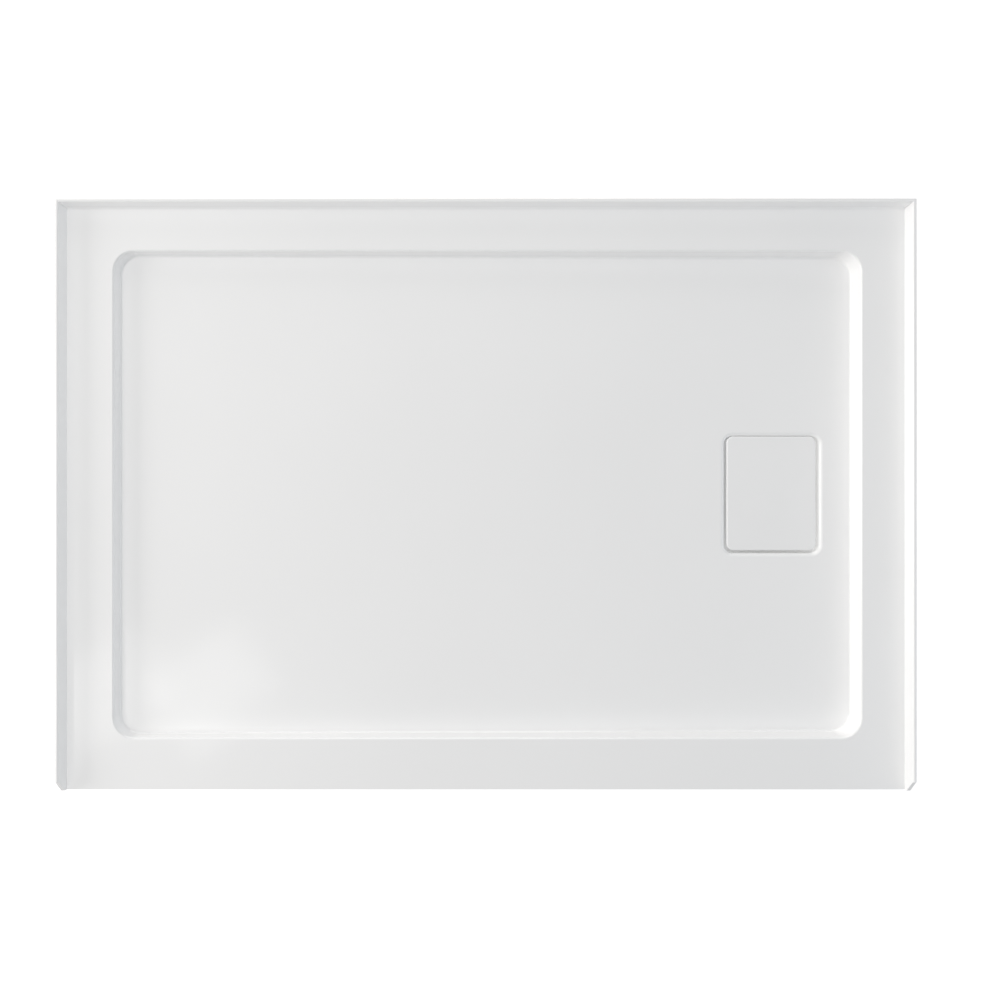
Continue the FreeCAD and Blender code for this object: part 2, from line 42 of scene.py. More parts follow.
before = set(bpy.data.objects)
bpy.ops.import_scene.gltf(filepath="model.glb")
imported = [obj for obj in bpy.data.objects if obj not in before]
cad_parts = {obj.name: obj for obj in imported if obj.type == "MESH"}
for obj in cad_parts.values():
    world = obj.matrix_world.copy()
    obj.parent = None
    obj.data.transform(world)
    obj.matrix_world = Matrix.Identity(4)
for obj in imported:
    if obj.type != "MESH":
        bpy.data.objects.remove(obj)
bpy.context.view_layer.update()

NEAR = 0.00002  # places closer than this count as the same
PAST = 0.02  # how far a cutting shape reaches past what it cuts
LIP = 0.0015  # the drain body's lips and edges are multiples of this
FEET = 6
CREASE = math.radians(35)  # flatter edges than this are shaded smooth
THREAD_FORM = (0.42, 0.54, 0.96)  # where in one turn a ridge's crest begins and ends, and where its foot ends
BEAD_ANGLES = (30, 150, 270)  # round a welded nut, in degrees
DROPS = range(-3, 4)  # drops of one weld bead, counted from its middle
DROP_RADIUS = 1.25  # in halves of the bead's width
DROP_HEIGHTS = (0.9, 0.98)  # in radii, in turn
PITH = Vector((0.045, 0.045, 0.03))  # from the centre of a strip's rings to the strip's middle


def corners(node):
    """Lowest and highest corner of a CAD node."""
    low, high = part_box(node)
    return Vector(low), Vector(high)


def middle(node):
    """Middle between the corners of a CAD node."""
    low, high = corners(node)
    return (low + high) / 2


SHELL_LOW, SHELL_HIGH = corners("acrylic_shell")
PLATE_LOW, PLATE_HIGH = corners("drain_cover_plate")
SUMP_FLOOR = corners("cover_bumpers")[0].z
DRAIN = middle("drain_strainer")


def number(name, description, default, **kind):
    """A number that a user may change."""
    return bpy.props.FloatProperty(name=name, description=description, default=default, precision=4, **kind)


def size(name, description, metres):
    """A length that a user may change."""
    return number(name, description, metres, unit="LENGTH", subtype="DISTANCE")


def power(name, description, watts):
    """A lamp's power that a user may change."""
    return number(name, description, watts, unit="POWER")


def colour(name, description, red, green, blue):
    """A linear colour that a user may change."""
    return bpy.props.FloatVectorProperty(name=name, description=description, default=(red, green, blue, 1.0),
                                         size=4, min=0.0, max=1.0, subtype="COLOR")


class ShowerTraySheet(bpy.types.PropertyGroup):
    """The formed sheet: flanges, deck, threshold and recessed floor."""
    sheet: size("Sheet", "Thickness of the acrylic sheet", 0.004)
    laminate: size("Laminate", "Thickness of the glass fibre laminate under the sheet", 0.003)
    flange_height: size("Flange height", "How far the tile flanges rise above the deck", 0.025)
    flange_top: size("Flange top", "Thickness of a flange at its top", 0.005)
    flange_draft: size("Flange draft", "How much thicker a flange is at its foot", 0.0008)
    flange_round: size("Flange round", "Radius along the top of a flange", 0.0018)
    flange_foot: size("Flange foot", "Radius where a flange meets the deck", 0.003)
    flange_corner: size("Flange corner", "Radius of the flanges' inner corners seen from above", 0.0035)
    end_run: size("End run", "Length of the slanted cut at a flange's front end", 0.018)
    end_drop: size("End drop", "Height of the slanted cut at a flange's front end", 0.020)
    deck_left: size("Left deck", "Deck from the outline to the recess's rim", 0.0705)
    deck_right: size("Right deck", "Deck from the outline to the recess's rim", 0.0655)
    deck_back: size("Back deck", "Deck from the outline to the recess's rim", 0.065)
    deck_front: size("Front deck", "Threshold from the outline to the recess's rim", 0.0715)
    threshold_round: size("Threshold round", "Radius along the front edge", 0.004)
    skirt_return: size("Skirt return", "How far the front skirt turns back at its ends", 0.045)
    step_depth: size("Step", "Depth of the floor below the deck at the left wall", 0.022)
    floor_slope: number("Fall", "Fall of the floor towards the drain end", 0.011)
    rim_round: size("Rim round", "Radius between the deck and the recess's wall", 0.003)
    foot_round: size("Foot round", "Radius between the recess's wall and the floor", 0.003)
    corner_radius: size("Corner", "Radius of the recess's corners at the rim", 0.032)
    wall_draft: number("Wall draft", "Lean of the recess's walls", 0.035)


class ShowerTraySump(bpy.types.PropertyGroup):
    """The recess under the drain cover, and the cover."""
    width: size("Sump width", "Size of the sump along the tray", 0.1404)
    length: size("Sump length", "Size of the sump across the tray", 0.1728)
    corner_radius: size("Sump corner", "Radius of the sump's corners", 0.012)
    rim_round: size("Sump rim", "Radius between the floor and the sump", 0.006)
    foot_round: size("Sump foot", "Radius at the foot of the sump's wall", 0.005)
    hole_radius: size("Drain hole", "Radius of the hole for the drain", 0.0415)
    cover_corner: size("Cover corner", "Radius of the cover's corners", 0.010)
    cover_edge: size("Cover edge", "Radius along the cover's upper edge", 0.0012)
    cover_under_edge: size("Cover under edge", "Radius along the cover's lower edge", 0.0004)
    cover_below_floor: size("Cover set down", "How far the cover lies below the floor", 0.001)
    cover_thickness: size("Cover thickness", "Thickness of the cover plate", 0.004)
    bumper_radius: size("Bumper", "Radius of a rubber foot under the cover", 0.007)
    bumper_stem: size("Bumper stem", "Radius of the stem that holds a rubber foot", 0.003)
    bumper_thickness: size("Bumper thickness", "Thickness of a rubber foot", 0.003)


class ShowerTrayUnderside(bpy.types.PropertyGroup):
    """What carries the sheet: the laminate and the levelling feet."""
    lump_size: size("Lump size", "How far apart the lumps of the rolled laminate are", 0.030)
    lump_depth: size("Lump depth", "How deep the hollows between the lumps are", 0.0011)
    lump_step: size("Lump step", "Spacing of the laminate's mesh", 0.014)
    thread_pitch: size("Thread pitch", "Rise of a foot's thread in one turn", 0.0015)
    thread_depth: size("Thread depth", "Depth of a foot's thread", 0.0009)
    stud_radius: size("Stud radius", "Radius over a foot's thread", 0.005)
    hexagon_flats: size("Hexagon", "Size over the flats of a foot's hexagons", 0.017)
    hexagon_height: size("Hexagon height", "Height of the hexagon that a foot is turned by", 0.008)
    nut_height: size("Nut height", "Height of the nut under a bracket", 0.008)
    plate_thickness: size("Bracket plate", "Thickness of a bracket's plate", 0.0025)
    plate_corner: size("Bracket corner", "Radius of a bracket's corners", 0.006)
    screw_edge: size("Screw edge", "From a bracket's edge to its screws", 0.008)
    screw_hole: size("Screw hole", "Radius of a bracket's screw holes", 0.0023)
    weld: size("Weld bead", "Half the width of a weld bead", 0.0013)
    pad_rim: size("Pad rim", "Height of a pad's rim", 0.005)
    pad_web: size("Pad web", "Height of a pad between its rim and its boss", 0.003)
    pad_boss: size("Pad boss", "Radius of a pad's boss", 0.013)
    pad_round: size("Pad round", "Radius along a pad's edges", 0.0015)
    pad_ribs: bpy.props.IntProperty(name="Pad ribs", description="Ribs between a pad's boss and rim", default=8)
    drain_pitch: size("Drain pitch", "Rise of the drain's thread in one turn", 0.003)
    drain_depth: size("Drain thread", "Depth of the drain's thread", 0.0012)
    drain_wall: size("Drain radius", "Radius over the drain's thread", 0.041)


class ShowerTrayColours(bpy.types.PropertyGroup):
    """Colours of the finishes, as they are without any light on them."""
    acrylic: colour("Acrylic", "White sanitary acrylic", 0.86, 0.86, 0.86)
    cover: colour("Cover", "Acrylic of the drain cover", 0.85, 0.85, 0.85)
    moulding: colour("Moulding", "White moulded plastic", 0.78, 0.78, 0.76)
    resin: colour("Resin", "Cured polyester resin", 0.52, 0.50, 0.36)
    strands: colour("Strands", "Glass strands in the resin", 0.74, 0.73, 0.62)
    foam: colour("Foam", "Rigid foam", 0.78, 0.66, 0.40)
    board: colour("Board", "Particle board", 0.50, 0.34, 0.18)
    board_chip: colour("Chip", "Pale chips in the board", 0.70, 0.54, 0.33)
    wood: colour("Wood", "Softwood between its rings", 0.72, 0.52, 0.30)
    wood_ring: colour("Ring", "Dark rings of the softwood", 0.48, 0.27, 0.11)
    rubber: colour("Rubber", "Black rubber", 0.025, 0.025, 0.026)
    bumper: colour("Bumper", "Grey rubber", 0.10, 0.10, 0.11)
    washer: colour("Washer", "Pressed fibre", 0.34, 0.20, 0.10)
    steel: colour("Steel", "Stainless steel", 0.60, 0.60, 0.59)
    zinc: colour("Zinc", "Bright zinc plate", 0.66, 0.68, 0.70)
    galvanised: colour("Galvanised", "Hot-dip galvanised steel", 0.50, 0.53, 0.55)
    pad: colour("Pad", "Black moulded plastic", 0.030, 0.030, 0.032)


class ShowerTrayStudio(bpy.types.PropertyGroup):
    """The floor, the light and the camera."""
    camera_height: size("Camera height", "Height of the camera above the ground", 1.405)
    camera_y: size("Camera depth", "Place of the camera over the tray", 0.00435)
    lens: number("Lens", "Focal length in millimetres", 31.6)
    shift_x: number("Shift across", "Camera shift across", 0.01425)
    shift_y: number("Shift up", "Camera shift up", -0.0063)
    ground: colour("Ground", "Plain pale floor", 0.82, 0.82, 0.82)
    ground_size: size("Ground size", "Length of the floor's side", 9.0)
    ground_lift: number("Ground lift", "How much the floor glows by itself", 0.48)
    left_power: power("Left", "Power of the low lamp on the left", 34.0)
    bounce_power: power("Bounce", "Power of the shadowless light from the left wall of the studio", 46.0)
    return_power: power("Return", "Power of the shadowless light from the right wall of the studio", 13.0)
    front_power: power("Front", "Power of the shadowless light from the front wall of the studio", 8.0)
    rear_power: power("Rear", "Power of the shadowless light from the back wall of the studio", 16.0)
    back_power: power("Back", "Power of the low lamp behind the tray", 14.0)
    right_power: power("Right", "Power of the lamp on the right", 5.0)
    pane_power: power("Pane", "Power of each window pane that the left end mirrors", 0.45)
    left_tint: colour("Left tint", "Colour of the lamps on the left", 1.0, 0.985, 0.965)
    right_tint: colour("Right tint", "Colour of the lamps on the right", 0.80, 0.90, 1.0)
    sky: number("Sky", "Strength of the light from all round", 0.475)


# Modelling by hand, in small steps

def stand_down():
    """Leaves edit mode with nothing selected."""
    if bpy.context.mode != "OBJECT":
        bpy.ops.object.mode_set(mode="OBJECT")
    bpy.ops.object.select_all(action="DESELECT")


def take(piece):
    """Leaves the piece as the only one selected, and active."""
    stand_down()
    piece.select_set(True)
    bpy.context.view_layer.objects.active = piece


def open_up(piece):
    """Opens the piece in edit mode with all of it selected."""
    take(piece)
    bpy.ops.object.mode_set(mode="EDIT")
    bpy.ops.mesh.select_all(action="SELECT")


def settle(piece):
    """Puts the piece's place into its mesh, so that its object sits at the origin."""
    take(piece)
    bpy.ops.object.transform_apply(location=True, rotation=True, scale=True)


def change(piece, kind, **settings):
    """Works a modifier with these settings into the piece's mesh."""
    take(piece)
    modifier = piece.modifiers.new(kind, kind)
    for name, value in settings.items():
        setattr(modifier, name, value)
    bpy.ops.object.modifier_apply(modifier=modifier.name)


def added(name):
    """The piece that was just added, named and settled."""
    piece = bpy.context.object
    piece.name = piece.data.name = name
    settle(piece)
    return piece


def box(name, low, high, radius=0.0, steps=0):
    """Upright block from its lowest to its highest corner, with its corners rounded seen from above."""
    stand_down()
    low, high = Vector(low), Vector(high)
    bpy.ops.mesh.primitive_cube_add(size=1, location=(low + high) / 2, scale=high - low)
    piece = added(name)
    round_off(piece, radius, steps, lambda co: True, upright=True)
    return piece


def drill(x, y, radius, sides):
    """Upright cylinder that reaches through anything."""
    stand_down()
    bpy.ops.mesh.primitive_cylinder_add(vertices=sides, radius=radius, depth=2 * SHELL_HIGH.z, location=(x, y, 0))
    return bpy.context.object


def pick(piece, kind, test, upright=False):
    """Selects in edit mode the piece's faces or edges whose corners all pass the test, or only upright ones."""
    open_up(piece)
    bpy.ops.mesh.select_mode(type=kind)
    bpy.ops.mesh.select_all(action="DESELECT")
    shape = bmesh.from_edit_mesh(piece.data)
    for element in shape.faces if kind == "FACE" else shape.edges:
        places = [corner.co for corner in element.verts]
        if all(test(co) for co in places) and not (upright and (places[1] - places[0]).xy.length > NEAR):
            element.select_set(True)
    bmesh.update_edit_mesh(piece.data)


def round_off(piece, radius, steps, test, upright=False):
    """Rounds the edges whose ends pass the test."""
    if radius < NEAR:
        return
    pick(piece, "EDGE", test, upright)
    bpy.ops.mesh.bevel(offset=radius, segments=steps)
    stand_down()


def combine(piece, other, operation="DIFFERENCE"):
    """Cuts the other shape out of the piece, joins it on, or keeps what they share; the other shape is used up."""
    change(piece, "BOOLEAN", operation=operation, solver="EXACT", object=other)
    bpy.data.objects.remove(other, do_unlink=True)


def slice_off(piece, place, normal):
    """Cuts the piece along a plane, removes what lies behind it and closes the cut."""
    open_up(piece)
    bpy.ops.mesh.bisect(plane_co=place, plane_no=normal, use_fill=True, clear_inner=True)
    stand_down()


def close_up(piece):
    """Merges what meets and turns all faces outwards."""
    open_up(piece)
    bpy.ops.mesh.remove_doubles(threshold=NEAR / 10)
    bpy.ops.mesh.normals_make_consistent(inside=False)
    stand_down()


def outline(name, points):
    """Chain of edges through points, drawn by pulling one corner from point to point."""
    stand_down()
    points = [Vector(point) for point in points]
    bpy.ops.mesh.primitive_plane_add(size=NEAR, location=points[0])
    piece = added(name)
    bpy.ops.object.mode_set(mode="EDIT")
    bpy.ops.mesh.select_mode(type="VERT")
    bpy.ops.mesh.select_all(action="SELECT")
    bpy.ops.mesh.merge(type="CENTER")
    for start, end in zip(points, points[1:]):
        bpy.ops.mesh.extrude_region_move(TRANSFORM_OT_translate={"value": end - start})
    return piece


def turned(name, points, place, steps=64):
    """Solid turned about the upright axis at the place, from (radius, height) points that begin and end on the
    axis, or that come back to where they began."""
    piece = outline(name, [(place.x + radius, place.y, height) for radius, height in points])
    bpy.ops.mesh.select_all(action="SELECT")
    bpy.ops.mesh.spin(steps=steps, angle=math.tau, center=(place.x, place.y, 0), axis=(0, 0, 1))
    close_up(piece)
    return piece


def thread(name, place, root, crest, pitch, low, high, steps=28):
    """Ridge of a right-handed thread round the upright axis at the place."""
    rise, fall, end = (pitch * share for share in THREAD_FORM)
    piece = outline(name, [(root, 0, 0), (crest, 0, rise), (crest, 0, fall), (root, 0, end), (root, 0, 0)])
    close_up(piece)
    turns = int((high - low) / pitch) - 1
    change(piece, "SCREW", steps=steps, render_steps=steps, screw_offset=pitch, iterations=turns)
    open_up(piece)
    bpy.ops.mesh.fill_holes(sides=4)
    bpy.ops.transform.translate(value=(place.x, place.y, low))
    close_up(piece)
    return piece


def join(piece, *others):
    """Makes one piece of several."""
    take(piece)
    for other in others:
        other.select_set(True)
    bpy.ops.object.join()
    return piece


def twin(piece, name, move):
    """Copy of the piece with its own mesh, moved."""
    take(piece)
    bpy.ops.object.duplicate(linked=False)
    bpy.ops.transform.translate(value=move)
    return added(name)


def round_about(piece, place, count):
    """Repeats the whole piece evenly round the upright axis at the place."""
    open_up(piece)
    bpy.ops.mesh.spin(steps=count, dupli=True, angle=math.tau, center=(place.x, place.y, 0), axis=(0, 0, 1))
    close_up(piece)
    return piece


def hexagon(name, place, flats, low, high):
    """Hexagon with the corners of both its ends turned off."""
    corner = flats / math.sqrt(3)
    stand_down()
    bpy.ops.mesh.primitive_cylinder_add(vertices=6, radius=corner, depth=high - low,
                                        location=(place.x, place.y, (low + high) / 2),
                                        rotation=(0, 0, math.radians(30)))
    piece = added(name)
    ease = (corner - flats / 2) / 2
    blank = [(0, low), (flats / 2, low), (corner + NEAR, low + ease), (corner + NEAR, high - ease),
             (flats / 2, high), (0, high)]
    combine(piece, turned("blank", blank, place), "INTERSECT")
    return piece


def finish(piece, body, slot, material, *nodes):
    """Shades the piece, gives it its finish and its body, and hides the CAD nodes that it stands for."""
    take(piece)
    bpy.ops.object.shade_smooth_by_angle(angle=CREASE)
    change(piece, "WEIGHTED_NORMAL", keep_sharp=True)
    piece.data.materials.clear()
    piece.data.materials.append(material)
    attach(piece, body)
    if nodes:
        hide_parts(*nodes)
    stand_down()


def dress(material, *nodes):
    """Gives CAD nodes that stay a finish."""
    for node in nodes:
        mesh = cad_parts[node].data
        mesh.materials.clear()
        mesh.materials.append(material)


# The formed sheet

def floor_height(sheet, x):
    """Height of the floor's upper side at x."""
    return SHELL_HIGH.z - sheet.flange_height - sheet.step_depth - sheet.floor_slope * (x - wall_left(sheet))


def wall_left(sheet):
    """Where the recess's left wall begins under the rim's rounding."""
    return SHELL_LOW.x + sheet.deck_left + sheet.rim_round


def recess_plug(sheet, inset):
    """What the recess takes out of the sheet, moved out by the inset."""
    deck = SHELL_HIGH.z - sheet.flange_height
    x0, x1 = wall_left(sheet), SHELL_HIGH.x - sheet.deck_right - sheet.rim_round
    y0 = SHELL_LOW.y + sheet.deck_front + sheet.rim_round
    y1 = SHELL_HIGH.y - sheet.deck_back - sheet.rim_round
    top, low = deck + PAST, floor_height(sheet, x1) - PAST
    grow = inset + sheet.wall_draft * PAST
    radius = sheet.corner_radius - sheet.rim_round + grow
    plug = box("recess_plug", (x0 - grow, y0 - grow, low), (x1 + grow, y1 + grow, top), radius, 20)
    lean = sheet.wall_draft * (top - low)
    pick(plug, "FACE", lambda co: co.z < low + NEAR)
    across, along = x1 - x0 + 2 * grow, y1 - y0 + 2 * grow
    bpy.ops.transform.resize(value=((across - 2 * lean) / across, (along - 2 * lean) / along, 1),
                             center_override=((x0 + x1) / 2, (y0 + y1) / 2, low))
    slice_off(plug, (x0, 0, floor_height(sheet, x0) - inset), (sheet.floor_slope, 0, 1))
    round_off(plug, sheet.foot_round + inset, 10, lambda co: abs(co.z - floor_height(sheet, co.x) + inset) < NEAR)
    return plug


def sump_plug(sheet, sump, inset):
    """What the sump takes out of the sheet, moved out by the inset."""
    half_x, half_y = sump.width / 2 + inset, sump.length / 2 + inset
    low = SUMP_FLOOR - inset
    plug = box("sump_plug", (DRAIN.x - half_x, DRAIN.y - half_y, low),
               (DRAIN.x + half_x, DRAIN.y + half_y, SHELL_HIGH.z), sump.corner_radius + inset, 12)
    round_off(plug, sump.foot_round + inset, 8, lambda co: co.z < low + NEAR)
    return plug


def sheet_block(sheet, sump, inset):
    """Closed block whose upper side is the sheet's upper side moved in by the inset."""
    deck = SHELL_HIGH.z - sheet.flange_height
    top = deck - inset
    if inset < NEAR:
        block = box("block", SHELL_LOW, SHELL_HIGH)
        combine(block, between_flanges(sheet))
        round_flanges(block, sheet)
    else:
        behind = SHELL_LOW.y + sheet.skirt_return
        block = box("block", (SHELL_LOW.x - PAST, behind, -PAST), (SHELL_HIGH.x + PAST, SHELL_HIGH.y + PAST, top))
        front = box("front", (SHELL_LOW.x + inset, SHELL_LOW.y + inset, -PAST),
                    (SHELL_HIGH.x - inset, behind + PAST, top))
        combine(block, front, "UNION")
    combine(block, recess_plug(sheet, inset))
    edge_x = SHELL_HIGH.x - sheet.deck_right / 2
    edge_y = SHELL_HIGH.y - sheet.deck_back / 2
    round_off(block, sheet.rim_round - inset, 8,
              lambda co: abs(co.z - top) < NEAR and abs(co.x) < edge_x and abs(co.y) < edge_y)
    combine(block, sump_plug(sheet, sump, inset))
    half_x, half_y = sump.width / 2 + inset + NEAR, sump.length / 2 + inset + NEAR
    round_off(block, sump.rim_round - inset, 8,
              lambda co: abs(co.x - DRAIN.x) < half_x and abs(co.y - DRAIN.y) < half_y
              and abs(co.z - floor_height(sheet, co.x) + inset) < NEAR)
    return block


def between_flanges(sheet):
    """What lies between the flanges above the deck: open at the front, and a little wider at the top."""
    deck = SHELL_HIGH.z - sheet.flange_height
    foot = sheet.flange_top + sheet.flange_draft
    x, back = SHELL_HIGH.x - foot, SHELL_HIGH.y - foot
    plug = box("between", (-x, SHELL_LOW.y - PAST, deck), (x, back, SHELL_HIGH.z + PAST))
    rise = 1 + PAST / sheet.flange_height
    length = back - SHELL_LOW.y + PAST
    pick(plug, "FACE", lambda co: co.z > SHELL_HIGH.z)
    bpy.ops.transform.resize(value=(1 + sheet.flange_draft * rise / x, 1 + sheet.flange_draft * rise / length, 1),
                             center_override=(0, SHELL_LOW.y - PAST, SHELL_HIGH.z))
    take(plug)
    return plug


def round_flanges(block, sheet):
    """Rounds the flanges along their top and foot and in their corners, and cuts their front ends at a slant."""
    deck = SHELL_HIGH.z - sheet.flange_height
    foot = sheet.flange_top + sheet.flange_draft + NEAR
    inner_x, inner_y, front = SHELL_HIGH.x - foot, SHELL_HIGH.y - foot, SHELL_LOW.y + NEAR

    def upright(co):
        return abs(co.x) > inner_x and co.z > deck - NEAR and inner_y < co.y < SHELL_HIGH.y - NEAR

    round_off(block, sheet.flange_corner, 6, upright)
    round_off(block, sheet.flange_foot, 6,
              lambda co: abs(co.z - deck) < NEAR and co.y > front and abs(co.x) < SHELL_HIGH.x - NEAR)
    round_off(block, sheet.flange_round, 6, lambda co: co.z > SHELL_HIGH.z - NEAR)
    steepness = sheet.end_drop / sheet.end_run
    wedge = box("wedge", (SHELL_LOW.x - PAST, SHELL_LOW.y - PAST, SHELL_HIGH.z - sheet.end_drop),
                (SHELL_HIGH.x + PAST, SHELL_LOW.y + sheet.end_run, SHELL_HIGH.z + PAST))
    slice_off(wedge, (0, SHELL_LOW.y, SHELL_HIGH.z - sheet.end_drop), (0, -steepness, 1))
    combine(block, wedge)
    flange_x = SHELL_HIGH.x - sheet.flange_top - sheet.flange_draft
    round_off(block, sheet.threshold_round, 8,
              lambda co: abs(co.z - deck) < NEAR and co.y < front and abs(co.x) < flange_x + NEAR)


class SHOWERTRAY_OT_sheet(bpy.types.Operator):
    """Form the acrylic sheet: flanges, deck, threshold, recessed floor and sump"""
    bl_idname = "showertray.sheet"
    bl_label = "Acrylic sheet"

    def execute(self, context):
        sheet, sump, colours = context.scene.tray_sheet, context.scene.tray_sump, context.scene.tray_colours
        tray = sheet_block(sheet, sump, 0.0)
        combine(tray, sheet_block(sheet, sump, sheet.sheet))
        combine(tray, drill(DRAIN.x, DRAIN.y, sump.hole_radius, 96))
        tray.name = tray.data.name = "acrylic_sheet"
        finish(tray, "tray", "white_acrylic", surfaced(colours, "white_acrylic"), "acrylic_shell")
        return {"FINISHED"}


class SHOWERTRAY_OT_cover(bpy.types.Operator):
    """Shape the plate of the drain cover, parallel to the floor"""
    bl_idname = "showertray.cover"
    bl_label = "Drain cover"

    def execute(self, context):
        sheet, sump = context.scene.tray_sheet, context.scene.tray_sump
        top = -sump.cover_below_floor
        under = top - sump.cover_thickness
        plate = box("cover_plate", (PLATE_LOW.x, PLATE_LOW.y, SUMP_FLOOR),
                    (PLATE_HIGH.x, PLATE_HIGH.y, SHELL_HIGH.z), sump.cover_corner, 16)
        slice_off(plate, (0, 0, floor_height(sheet, 0) + under), (sheet.floor_slope, 0, 1))
        slice_off(plate, (0, 0, floor_height(sheet, 0) + top), (-sheet.floor_slope, 0, -1))
        for level, radius, steps in ((top, sump.cover_edge, 5), (under, sump.cover_under_edge, 2)):
            round_off(plate, radius, steps, lambda co: abs(co.z - floor_height(sheet, co.x) - level) < NEAR)
        finish(plate, "drain_cover", "cover_acrylic", surfaced(context.scene.tray_colours, "cover_acrylic"),
               "drain_cover_plate")
        return {"FINISHED"}


class SHOWERTRAY_OT_laminate(bpy.types.Operator):
    """Lay the lumpy glass fibre laminate under the sheet"""
    bl_idname = "showertray.laminate"
    bl_label = "Laminate"

    def execute(self, context):
        sheet, sump, under = (getattr(context.scene, group) for group in ("tray_sheet", "tray_sump", "tray_under"))
        laminate = sheet_block(sheet, sump, sheet.sheet)
        combine(laminate, box("bounds", SHELL_LOW, SHELL_HIGH), "INTERSECT")
        mould = sheet_block(sheet, sump, sheet.sheet + sheet.laminate)
        roughen(mould, under)
        combine(laminate, mould)
        combine(laminate, drill(DRAIN.x, DRAIN.y, sump.hole_radius, 96))
        laminate.name = laminate.data.name = "glass_fibre_laminate"
        finish(laminate, "tray", "fibreglass", laminate_finish(context.scene.tray_colours), "fibreglass_backing")
        return {"FINISHED"}


def roughen(mould, under):
    """Divides the mould into even squares and raises soft lumps on it."""
    low, high = SHELL_LOW - Vector((PAST, PAST, 0)), SHELL_HIGH + Vector((PAST, PAST, 0))
    for axis, normal in enumerate(((1, 0, 0), (0, 1, 0))):
        for step in range(1, int((high[axis] - low[axis]) / under.lump_step)):
            place = low.copy()
            place[axis] += step * under.lump_step
            open_up(mould)
            bpy.ops.mesh.bisect(plane_co=place, plane_no=normal)
    change(mould, "TRIANGULATE")
    lumps = bpy.data.textures.new("lumps", "CLOUDS")
    lumps.noise_scale = under.lump_size
    lumps.noise_depth = 1
    change(mould, "DISPLACE", texture=lumps, strength=under.lump_depth, mid_level=0.0)


class SHOWERTRAY_OT_feet(bpy.types.Operator):
    """Make the six levelling feet: threaded studs, ribbed pads and welded brackets"""
    bl_idname = "showertray.feet"
    bl_label = "Levelling feet"

    def execute(self, context):
        under, colours = context.scene.tray_under, context.scene.tray_colours
        makers = ((make_stud, "stud", "stud_{}", "zinc_steel", surfaced(colours, "zinc")),
                  (make_pad, "pad", "pad_{}", "foot_plastic", surfaced(colours, "pad_plastic")),
                  (make_bracket, "bracket", "tray", "galvanised_steel", galvanised_finish(colours)))
        for make, kind, body, slot, material in makers:
            pattern = make(under)
            for number in range(2, FEET + 1):
                move = middle(f"foot_stud_{number}") - middle("foot_stud_1")
                copy = twin(pattern, f"{kind}_of_foot_{number}", move)
                finish(copy, body.format(number), slot, material, f"foot_{kind}_{number}")
            pattern.name = pattern.data.name = f"{kind}_of_foot_1"
            finish(pattern, body.format(1), slot, material, f"foot_{kind}_1")
        return {"FINISHED"}


def make_stud(under):
    """Threaded rod with a hexagon to turn it by and a plain end for the pad's socket."""
    low, high = corners("foot_stud_1")
    place = middle("foot_stud_1")
    pad_top = corners("foot_pad_1")[1].z
    thread_low = pad_top + under.hexagon_height
    radius, root, ease = under.stud_radius, under.stud_radius - under.thread_depth, under.thread_depth / 2
    rod = turned("stud", [
        (0, low.z), (radius - ease, low.z), (radius, low.z + ease), (radius, thread_low - ease),
        (root, thread_low), (root, high.z - 2 * ease), (root - 2 * ease, high.z), (0, high.z)], place, 32)
    flats = hexagon("flats", place, under.hexagon_flats, pad_top, thread_low)
    ridge = thread("ridge", place, root - NEAR, radius, under.thread_pitch, thread_low, high.z - 2 * ease)
    return join(rod, flats, ridge)


def make_pad(under):
    """Moulded pad: a disc with a rounded rim, a boss with a socket, and ribs between them."""
    low, high = corners("foot_pad_1")
    place = middle("foot_stud_1")
    edge, boss, rim, bend = (high.x - low.x) / 2, under.pad_boss, under.pad_rim, under.pad_round
    socket, floor, web = under.stud_radius, corners("foot_stud_1")[0].z - NEAR, under.pad_web
    pad = turned("pad", [
        (0, floor), (0, 0), (edge - bend, 0), (edge, bend), (edge, rim - bend), (edge - bend, rim),
        (edge - 2 * bend, rim), (edge - 2.5 * bend, web), (boss + 1.5 * bend, web), (boss + bend / 2, rim + bend),
        (boss, high.z - bend), (boss - bend, high.z), (socket + bend / 2, high.z), (socket, high.z - bend / 2),
        (socket, floor), (0, floor)], place, 72)
    rib = box("rib", (place.x + socket + bend, place.y - bend / 2, web - bend),
              (place.x + edge - 1.5 * bend, place.y + bend / 2, high.z - 2 * bend))
    slope = (high.z - 2 * bend - rim) / (edge - 2 * bend - boss)
    slice_off(rib, (place.x + boss, 0, high.z - 2 * bend), (-slope, 0, -1))
    round_off(rib, bend / 3, 3, lambda co: co.z > web)
    round_about(rib, place, under.pad_ribs)
    return join(pad, rib)


def make_bracket(under):
    """Steel plate with four screw holes and a nut welded under it."""
    low, high = corners("foot_bracket_1")
    place = middle("foot_stud_1")
    underside = high.z - under.plate_thickness
    plate = box("plate", (low.x, low.y, underside), high, under.plate_corner, 8)
    round_off(plate, under.plate_thickness / 6, 2, lambda co: co.z < underside + NEAR)
    for side_x in (low.x + under.screw_edge, high.x - under.screw_edge):
        for side_y in (low.y + under.screw_edge, high.y - under.screw_edge):
            combine(plate, drill(side_x, side_y, under.screw_hole, 24))
    nut = hexagon("nut", place, under.hexagon_flats, underside - under.nut_height, underside)
    for part in (plate, nut):
        combine(part, drill(place.x, place.y, under.stud_radius + NEAR * 4, 40))
    return join(plate, nut, *weld_beads(under, place, underside))


